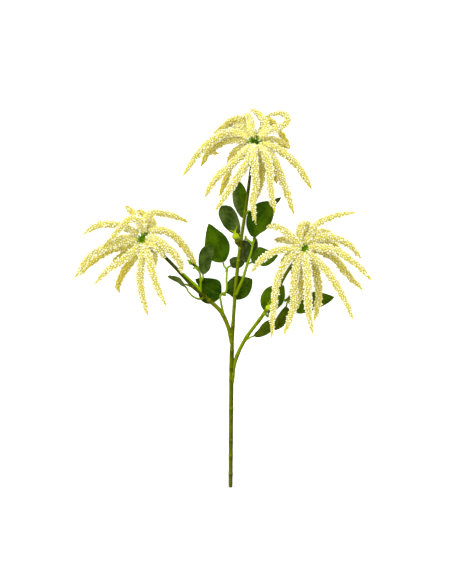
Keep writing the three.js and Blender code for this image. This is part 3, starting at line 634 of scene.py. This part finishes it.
leaves = {
    "leaf_inner_left": {
        "twig": [[0, -34, 34], [-5, -10, 38], [-6, 4, 40], [5, 12, 41], [6, 36, 43], [6, 56, 44]],
        "from": [-1, 71, 47], "bow": [-10, 108, 54], "to": [-30, 149, 51], "roll": 0.1, "fold": -0.16,
        "left": [17, 24.5, 28, 21.5, 12.5, 4.5], "right": [9.5, 17.5, 21.5, 18, 8.5, 3],
    },
    "leaf_outer_left": {
        "twig": [[-46, 14, 42.3], [-46, 24, 43.5], [-45.5, 32, 45.2], [-43.2, 36.5, 46.6]],
        "from": [-41, 47, 51], "bow": [-41, 76, 63], "to": [-21.5, 104, 66], "roll": -0.3, "fold": 0.15,
        "left": [4.5, 8, 11.5, 14.5, 13, 6], "right": [8, 12, 12, 11, 8.5, 4],
    },
    "leaf_low_left": {
        "twig": [[-2, 7.2, 40.4], [2.5, 7, 39.4], [4, 5, 38.2]],
        "from": [-5, 6, 33.5], "bow": [-24, 10, 23], "to": [-57, 37, 27], "roll": -0.05, "fold": 0.1,
        "left": [13, 24, 27, 21, 5, 2], "right": [16, 22.5, 23.5, 19, 12, 5.5],
    },
    "leaf_behind_stem": {
        "twig": [[-1.5, 7.6, 40.3], [-0.5, 8.4, 39.2]],
        "from": [7, 10, 33], "bow": [26, 13, 19], "to": [58, 37, 25], "roll": 0.14, "fold": 0.1,
        "left": [15, 20.5, 23, 23, 13, 5.5], "right": [4, 17, 21.5, 20.5, 13, 5],
    },
    "leaf_upper_left": {
        "twig": [[35, 114, 45.9], [36, 118, 42], [35, 121, 40]],
        "from": [31, 128, 40], "bow": [16, 156, 38], "to": [-5, 184, 44], "roll": 0.2, "fold": 0.12,
        "left": [8, 13.5, 17, 16.5, 14, 8], "right": [4.5, 9.5, 13, 15.5, 14, 7],
    },
    "leaf_upper_back": {
        "twig": [[41, 152, 49], [42, 153, 45]],
        "from": [40, 160, 43], "bow": [35, 196, 38], "to": [32, 234, 43], "roll": 0.16, "fold": 0.16,
        "left": [6, 11, 15, 15.5, 13.5, 7], "right": [6, 9, 10, 11, 8.5, 3],
    },
    "leaf_upper_right": {
        "twig": [[25, 6, 37.5], [31, 20, 41], [39, 38, 45], [48, 68, 50], [56, 92, 53], [59, 110, 55]],
        "stout": 1.4,
        "from": [61, 121, 56.5], "bow": [68, 168, 61.5], "to": [116, 201, 56], "roll": -0.1, "fold": 0.14,
        "left": [11.5, 21.5, 25.5, 21, 6, 2], "right": [8, 18, 21.5, 17, 5, 2.5],
    },
    "leaf_middle_back": {
        "twig": [[58.5, 108, 55], [51, 113, 50], [45, 119, 41]],
        "from": [43, 115, 33], "bow": [39, 95, 31], "to": [46, 70, 32], "roll": -0.2, "fold": 0.2,
        "left": [9, 13, 15, 15, 11, 5], "right": [8, 10, 11, 11, 9, 4],
    },
    "leaf_edge_on": {
        "twig": [[58, 104, 54], [62, 116, 49], [63, 124, 46]],
        "from": [63.5, 119, 40], "bow": [67, 100, 38], "to": [60, 76, 36], "roll": 0.9, "fold": 0.2,
        "left": [2, 3, 3, 3, 2.5, 1.5], "right": [3, 4.5, 5, 4.5, 3, 1.5],
    },
    "leaf_small_back": {
        "twig": [[6, 52, 43.8], [7.5, 58, 42.5]],
        "from": [15, 64, 35], "bow": [26, 69, 24], "to": [44, 77, 26], "roll": 0.12, "fold": 0.16,
        "left": [10.5, 12, 12.5, 10, 6, 3], "right": [4.5, 7, 9.5, 9.5, 6.5, 2.5],
    },
    "leaf_right": {
        "twig": [[47, 64, 49.4], [50, 70, 48]],
        "from": [57, 71, 48], "bow": [80, 82, 48], "to": [110, 84, 45], "roll": 0.14, "fold": 0.12,
        "left": [12, 17.5, 22, 15, 6, 2.5], "right": [5, 11, 15.5, 14.5, 9.5, 3],
    },
    "leaf_low_right": {
        "twig": [[84, -30, 37], [87, -37, 34]],
        "from": [90, -31, 31], "bow": [91, 4, 30], "to": [122, 24, 33], "roll": -0.1, "fold": -0.22,
        "left": [9, 16.5, 20.5, 19, 11, 4], "right": [11, 18, 22, 22, 17, 8],
    },
    "leaf_lowest": {
        "twig": [[41, -88, 28.8], [48, -84, 31]],
        "from": [62, -77, 33.5], "bow": [84, -68, 36], "to": [112, -43, 33], "roll": 0.3, "fold": 0.16,
        "left": [4, 6.5, 11, 12, 8, 3.5], "right": [4.5, 7, 8.5, 8, 6, 3],
    },
    "leaf_hanging": {
        "twig": [[138, 28, 41.5], [135.5, 12, 40], [132, -2, 38], [131, -8, 35]],
        "from": [126, -19, 31], "bow": [121, -42, 26], "to": [98, -65, 22], "roll": 0.3, "fold": 0.14,
        "left": [6.5, 9, 11, 11.5, 8, 4], "right": [3.5, 6, 7.5, 7.5, 7, 3.5],
    },
    "leaf_far_right": {
        "twig": [[135, 63, 54], [139, 38, 44], [136, 14, 39], [132, 2, 38], [126, -4, 33], [122, -5, 25]],
        "from": [132, -8, 22], "bow": [166, -18, 20], "to": [224, 1, 24], "roll": -0.06, "fold": 0.1,
        "left": [9, 15, 18.5, 19, 12, 4.5], "right": [11, 20, 17, 12.5, 7.5, 3],
    },
    "leaf_far_left": {
        "twig": [[-34, 3, 40.5], [-47, -3, 42], [-61, 2, 44], [-72, 14, 46]], "twigAge": 0.4,
        "from": [-78, 23, 47.5], "bow": [-90, 36, 52], "to": [-112, 43, 49], "roll": 1.1, "fold": 0.3,
        "left": [2.5, 3, 2.5, 3, 2.5, 1.5], "right": [2, 3, 5.5, 4.5, 2.5, 1.2],
    },
}
buds = {
    "bud_middle": {
        "twig": [[34, 98, 45], [33, 97, 48]],
        "from": [31.2, 102, 51.2], "towards": [-0.28, 0.9, 0.2], "length": 30, "fresh": -0.12,
    },
    "bud_left": {
        "twig": [[-46, 33, 45], [-47, 46, 43], [-50, 55, 41]],
        "from": [-52.5, 62, 37.5], "towards": [-0.82, 0.55, -0.15], "length": 22, "fresh": -0.5,
        "bright": True,
    },
    "bud_right": {
        "twig": [[81, -33, 36.5], [82, -34, 41]],
        "from": [84, -31, 43.5], "towards": [0.35, 0.8, 0.42], "length": 19, "fresh": 0.25,
    },
}


def neckEnd(name):
    return list(hubPoint(name) - stem["neckGap"] * unit(hubs[name]["axis"]))


def stalkPath(which, points, radius, scars):
    # a stalk whose radius is a function of the share of its length, with rings at its scars
    line, run = smoothPath(points, stem["step"])
    share = run / run[-1]
    ring, bulge, look = stem["ring"], stem["bulge"], stemLooks[which]
    rings = sum(np.exp(-((run - scar) / ring["width"]) ** 2) for scar in scars)
    bulges = sum(np.exp(-((run - scar + bulge["before"]) / bulge["width"]) ** 2) for scar in scars)
    girth = radius(share) + stem["scarHeight"] * (rings * ring["share"] + bulges * bulge["share"])
    age = look["fresh"]
    for change, low, high in look["changes"]:
        age = age + change * blend(share, low, high)
    age = age + ring["pale"] * rings + bulge["pale"] * bulges
    return line, {"girth": girth / 1000, "age": age, "split": np.full(len(run), look["split"])}


def twigPath(points, stout=1, age=twig["age"]):
    line, run = smoothPath(points, twig["step"])
    share = run / run[-1]
    flare = twig["flare"] * np.exp(-run / twig["flareReach"])
    girth = stout * twig["root"] * (1 - share) + twig["end"] * share + flare
    age = age + twig["fresher"] * share
    return line, {"girth": girth / 1000, "age": age, "split": np.full(len(run), twig["split"])}


def carrying(path, seat, way):
    # a twig that ends square to what it carries
    back = [twig["gap"] + twig["stub"] * part for part in (1, 0.5, 0)]
    return [*path, *(list(seat - way * distance) for distance in back)]


def mainRadius(share):
    fork = stem["forkShare"]
    low = stem["cut"] + (stem["fork"] - stem["cut"]) * share / fork
    high = stem["above"] + (stem["neck"] - stem["above"]) * (share - fork) / (1 - fork)
    return low + (high - low) * blend(share, *stem["narrows"])


def branchPath(which, points):
    root, neck = stem[which]

    def radius(share):
        return root + (neck - root) * share + stem["flare"] * np.exp(-share / stem["flareShare"])
    scars = np.arange(stem["firstScar"], stem["scarredTo"][which], stem["scarSpacing"])
    return stalkPath(which, [*points, neckEnd(which)], radius, scars)


def leafTwig(leaf):
    way = unit(np.array(leaf["bow"]) - leaf["from"])
    path = carrying(leaf["twig"], leaf["from"] - way * twig["petiole"], way)
    return twigPath(path, leaf.get("stout", 1), leaf.get("twigAge", twig["age"]))


def budTwig(bud):
    return twigPath(carrying(bud["twig"], np.array(bud["from"]), unit(bud["towards"])))


stemPaths = [
    stalkPath("main", [*mainStem, neckEnd("top")], mainRadius, stem["scars"]),
    branchPath("left", leftBranch), branchPath("right", rightBranch),
    *(leafTwig(leaf) for leaf in leaves.values()), *(budTwig(bud) for bud in buds.values()),
    *(twigPath(spur["path"], twig["spur"], spur["age"]) for spur in spurs),
]
grownStem = grown(pathObject("stem_and_twigs", stemPaths), stalks, Sides=stem["sides"], Finish=stemGreen)
kept(grownStem, "stem", "stem")
print("stem, branches and twigs are made")

# Leaves
blade = {
    "thick": 0.7, "petiole": 1.4, "heel": [-5.8, -3.5, -2],  # the petiole's rings, before the base
    "rows": 60, "columns": 21, "lastShare": 0.9985, "curveSteps": 300,
    "stations": [0, 0.08, 0.22, 0.4, 0.6, 0.8, 0.93, 1],  # where along it the half widths are given
    "wave": 1.3, "waves": 2.3, "waveFull": 14, "foldEase": 0.4, "stalkEnd": 12,
    "quilt": 0.5, "quiltFrom": (1.5, 5),
    "quiltRound": 0.8, "quiltFade": 4, "rimFade": 6,  # powers
    "groove": 0.5, "grooveWidth": 1.3, "grooveFrom": (0.05, 0.25),
    "stalkFlat": 0.92, "rimThin": 0.55, "widens": (0.02, 0.5),
}
leafLooks = {  # brightness, partly painted light and shade, and its slope across, painted light on one side; painted sheen and its slope across; how olive
    "leaf_inner_left": (0.45, -0.3, 0.0, 0.0, 0.0), "leaf_outer_left": (0.2, 0.0, 0.5, 0.2, 0.0),
    "leaf_low_left": (0.1, 0.0, 0.0, 0.0, 0.0), "leaf_behind_stem": (0.3, 0.1, 0.1, -0.3, 0.0),
    "leaf_upper_left": (0.4, 0.15, 0.58, 0.2, 0.0), "leaf_upper_back": (0.65, 0.1, 0.1, -0.8, 0.0),
    "leaf_upper_right": (0.4, 0.3, 0.0, 0.0, 0.0), "leaf_middle_back": (0.6, 0.0, 0.95, 0.3, 0.0),
    "leaf_edge_on": (0.4, 0.0, 0.9, 0.0, 0.0), "leaf_small_back": (0.6, -0.3, 0.6, -0.4, 0.0),
    "leaf_right": (0.7, 0.0, 0.1, 0.0, 0.0), "leaf_low_right": (0.85, 0.0, 0.0, 0.0, 0.0),
    "leaf_lowest": (0.4, 0.0, 0.0, 0.0, 0.6), "leaf_hanging": (0.25, 0.0, 0.0, 0.0, 0.6),
    "leaf_far_right": (0.68, 0.0, 0.0, 0.0, 0.1), "leaf_far_left": (0.6, 0.0, 0.5, 0.0, 0.5),
}


def halfWidth(widths, share):
    # a smooth curve through the half widths, over the root of the share: round base, sharp tip
    knots, values = np.sqrt(blade["stations"]), np.array([0, *widths, 0])
    last = len(knots) - 1
    low, high = np.maximum(np.arange(last + 1) - 1, 0), np.minimum(np.arange(last + 1) + 1, last)
    slope = (values[high] - values[low]) / (knots[high] - knots[low])
    k = np.clip(np.searchsorted(knots, np.sqrt(share), side="right") - 1, 0, last - 1)
    step = knots[k + 1] - knots[k]
    t = (np.sqrt(share) - knots[k]) / step
    start = values[k] * (1 + 2 * t) * (1 - t) ** 2 + values[k + 1] * t * t * (3 - 2 * t)
    bend = slope[k] * t * (1 - t) ** 2 - slope[k + 1] * t * t * (1 - t)
    return np.maximum(0, start + bend * step)


def closedSheet(name, top, bottom, values):
    # two grids of points joined by walls all round their rim
    rows, columns = top.shape[:2]
    a = np.arange(rows * columns).reshape(rows, columns)
    b = a + rows * columns
    faces = []
    for i in range(rows - 1):
        for j in range(columns - 1):
            faces.append((a[i, j], a[i, j + 1], a[i + 1, j + 1], a[i + 1, j]))
            faces.append((b[i, j], b[i + 1, j], b[i + 1, j + 1], b[i, j + 1]))
        faces.append((a[i, 0], a[i + 1, 0], b[i + 1, 0], b[i, 0]))
        faces.append((a[i + 1, -1], a[i, -1], b[i, -1], b[i + 1, -1]))
    for j in range(columns - 1):
        faces.append((a[0, j + 1], a[0, j], b[0, j], b[0, j + 1]))
        faces.append((a[-1, j], a[-1, j + 1], b[-1, j + 1], b[-1, j]))
    verts = np.vstack([top.reshape(-1, 3), bottom.reshape(-1, 3)])
    verts[:, 2] = np.maximum(verts[:, 2], tableClear)
    faces = [tuple(int(v) for v in face) for face in faces]
    return newObject(name, placed(verts), [], faces, values)


def midrib(leaf):
    # points, directions and shares of the length, with the heel's rings before them
    base, bow, tip = (np.array(leaf[k], float) for k in ("from", "bow", "to"))
    t = np.linspace(0, 1, blade["curveSteps"])[:, None]
    curve = base * (1 - t) ** 2 + 2 * bow * t * (1 - t) + tip * t ** 2
    run = np.concatenate([[0], np.cumsum(np.linalg.norm(np.diff(curve, axis=0), axis=1))])
    denser = (1 - np.cos(np.linspace(0, math.pi, blade["rows"]))) / 2  # towards both ends
    share = np.clip(denser, 0, blade["lastShare"])

    def at(values):
        return np.stack([np.interp(share * run[-1], run, values[:, k]) for k in range(3)], axis=1)
    centre, along = at(curve), at(np.gradient(curve, axis=0))
    along /= np.linalg.norm(along, axis=1)[:, None]
    heel = np.array(blade["heel"])
    centre = np.vstack([centre[0] + heel[:, None] * along[0], centre])
    along = np.vstack([np.repeat(along[:1], len(heel), axis=0), along])
    return centre, along, np.concatenate([0 * heel, share])[:, None]


def buildLeaf(name, leaf):
    centre, along, share = midrib(leaf)
    side = np.cross(along, (0, 0, 1))
    side /= np.linalg.norm(side, axis=1)[:, None]
    column = np.linspace(-1, 1, blade["columns"])[None, :]
    half = np.where(column < 0, halfWidth(leaf["left"], share), halfWidth(leaf["right"], share))
    width = half / half.max()
    stalk = blade["petiole"] * np.minimum(1, (1 - share) * blade["stalkEnd"])
    offset = stalk * np.sin(column * math.pi / 2) + column * half

    wave = blade["wave"] * np.minimum(1, half / blade["waveFull"])
    wave = wave * np.sin(2 * math.pi * blade["waves"] * share)
    fold = leaf["fold"] * abs(offset) * (1 - blade["foldEase"] * abs(column))
    rise = leaf["roll"] * offset + fold + wave * column ** 3
    slant = (share - veins["slant"] * abs(column)) * veins["count"] + 0.5
    quilt = abs(np.sin(math.pi * slant)) ** blade["quiltRound"]
    quilt = quilt * blend(abs(offset), *blade["quiltFrom"]) * (1 - column ** blade["quiltFade"])
    groove = np.exp(-(offset / blade["grooveWidth"]) ** 2) * blend(share, *blade["grooveFrom"])
    relief = width * blade["quilt"] * quilt - blade["groove"] * groove * (1 - share)

    oval = blade["petiole"] * np.sqrt(1 - blade["stalkFlat"] * column ** 2)
    flat = blade["thick"] / 2 * (1 - blade["rimThin"] * abs(column) ** blade["rimFade"])
    thick = oval + (flat - oval) * blend(width, *blade["widens"])
    slope = -math.atan(leaf["roll"])
    lift = np.cross(side, along) * math.cos(slope) + side * math.sin(slope)
    middle = centre[:, None] + side[:, None] * offset[..., None]
    middle[..., 2] += rise + relief
    top = middle + lift[:, None] * thick[..., None]
    bottom = middle - lift[:, None] * thick[..., None]

    def both(grid):
        return np.tile(np.broadcast_to(grid, offset.shape).ravel(), 2)

    def shade(level, slope):
        return np.clip(both(level + slope * column), 0, 1)
    # tones are partly painted light and shade, with painted light sloping across the blade; the sheen is
    # painted
    tone, paintedLightSlope, grey, paintedSheenSlope, olive = leafLooks[name]
    made = closedSheet(name + "_blade", top, bottom, {
        "across": both(column), "along": both(share), "under": np.repeat([0, 1], offset.size),
        "tone": shade(tone, paintedLightSlope), "grey": shade(grey, paintedSheenSlope), "olive": shade(olive, 0)})
    made.data.materials.append(bladeGreen)
    made.data.shade_smooth()
    kept(made, "leaf", name)


for name, leaf in leaves.items():
    buildLeaf(name, leaf)
print("leaves are made")

# Buds
budShape = {
    "profile": [  # radius and height, as shares of the length, and how fresh the green is
        (0.09, 0.0, 0.3), (0.1, 0.12, 0.2), (0.155, 0.2, 0.05), (0.19, 0.28, 0.0), (0.195, 0.38, 0.15),
        (0.175, 0.45, 0.4), (0.15, 0.5, 0.15), (0.17, 0.54, 0.4), (0.235, 0.63, 0.75), (0.25, 0.71, 0.9),
        (0.235, 0.82, 1.0), (0.17, 0.9, 1.0), (0.08, 0.95, 0.9), (0.03, 0.97, 0.8)],
    "rings": 34, "sides": 30, "lobes": 5, "lobeDepth": 0.16, "lobesFrom": (0.55, 0.75),
}
awn = {  # heights and reaches are shares of the bud's length
    "each": [(-0.3, 0.34), (0.04, 0.2), (0.3, 0.46)],  # sideways lean, and reach past the least
    "foot": 0.8, "bend": 1.08, "bendLean": 0.25, "least": 0.2,
    "radius": 0.045, "taper": 0.75, "fade": 0.1, "step": 0.8, "sides": 8,
}


def budBody(name, bud, up, across, front):
    radius, height, fresh = np.array(budShape["profile"]).T
    at = np.linspace(height[0], height[-1], budShape["rings"])
    angle = np.linspace(0, 2 * math.pi, budShape["sides"], endpoint=False)
    dents = abs(np.cos(angle * budShape["lobes"] / 2))[None, :] ** 3
    lobes = 1 - budShape["lobeDepth"] * blend(at, *budShape["lobesFrom"])[:, None] * dents
    girth = np.interp(at, height, radius)[:, None] * lobes * bud["length"]
    ring = across * np.cos(angle)[:, None] + front * np.sin(angle)[:, None]
    verts = np.array(bud["from"]) + up * (at * bud["length"])[:, None, None] + ring * girth[..., None]
    index = np.arange(girth.size).reshape(girth.shape)
    ahead = np.roll(index, -1, axis=1)
    faces = np.stack([index[:-1], ahead[:-1], ahead[1:], index[1:]], axis=2).reshape(-1, 4).tolist()
    faces += [index[0][::-1].tolist(), index[-1].tolist()]
    age = np.repeat(np.interp(at, height, fresh) + bud["fresh"], budShape["sides"])
    body = newObject(name + "_body", placed(verts.reshape(-1, 3)), [], faces, {"age": age})
    body.data.materials.append(hubGreen if bud.get("bright") else budGreen)
    body.data.shade_smooth()
    kept(body, "bud", name)


def budAwns(name, bud, up, across, front):
    length, paths = bud["length"], []
    for number, (lean, reach) in enumerate(awn["each"]):
        foot = bud["from"] + up * awn["foot"] * length
        bend = bud["from"] + up * awn["bend"] * length + across * lean * awn["bendLean"] * length
        aside = across * lean + front * lean * (number - 1)
        tip = foot + up * (awn["least"] + reach) * length + aside * length
        line, run = smoothPath([foot, bend, tip], awn["step"])
        share = run / run[-1]
        girth = length * awn["radius"] * (1 - awn["taper"] * share) / 1000
        paths.append((line, {"girth": girth, "age": 1 - awn["fade"] * share}))
    awns = pathObject(name + "_awns", paths)
    kept(grown(awns, stalks, Sides=awn["sides"], Finish=budGreen), "bud", name)


for name, bud in buds.items():
    up = unit(bud["towards"])
    across = unit(np.cross(up, (0, 0, 1)))
    for build in (budBody, budAwns):
        build(name, bud, up, across, np.cross(across, up))
print("buds are made")

# Table, light and camera
studio = {
    "table": 6.0, "tableSides": 96, "tableColour": (0.95, 0.95, 0.95), "tableGlow": 0.4,
    "grainScale": 12.0, "grainShade": 0.985, "air": 1.6,
    "key": 2.0, "keySoftness": 40, "keyTurn": (-40, -16, 0),
    "lens": 152.26, "sensor": 36, "camera": (0.005, 0.015, 5.0),  # over the middle of the picture
}
scene = bpy.context.scene
bpy.ops.mesh.primitive_circle_add(
    vertices=studio["tableSides"], radius=studio["table"], fill_type="NGON", location=(0, 0, 0))
table = bpy.context.object
table.name = "table"
paper, m, shader = finish("pale paper", Roughness=0.8, Specular_IOR_Level=0.1,
                          Emission_Color=(1, 1, 1, 1), Emission_Strength=studio["tableGlow"])
grain = m.noise(m.node("ShaderNodeTexCoord", {}, {}, "Object"), studio["grainScale"], 4.0)
shaded = tuple(part * studio["grainShade"] for part in studio["tableColour"])
m.feed(shader.inputs["Base Color"], m.mix(grain, studio["tableColour"], shaded))
table.data.materials.append(paper)

air = bpy.data.worlds.new("studio air")
air.use_nodes = True
air.node_tree.nodes["Background"].inputs["Color"].default_value = (1, 1, 1, 1)
air.node_tree.nodes["Background"].inputs["Strength"].default_value = studio["air"]
scene.world = air
lamp = bpy.data.lights.new("key", "SUN")
lamp.energy = studio["key"]
lamp.angle = math.radians(studio["keySoftness"])
key = bpy.data.objects.new("key", lamp)
key.rotation_euler = [math.radians(a) for a in studio["keyTurn"]]
scene.collection.objects.link(key)

camera = bpy.data.objects.new("camera", bpy.data.cameras.new("camera"))
camera.data.lens = studio["lens"]
camera.data.sensor_width = studio["sensor"]
camera.location = studio["camera"]
scene.collection.objects.link(camera)
bpy.context.scene.camera = camera
scene.view_settings.view_transform = "Standard"
print("table, light and camera are set")
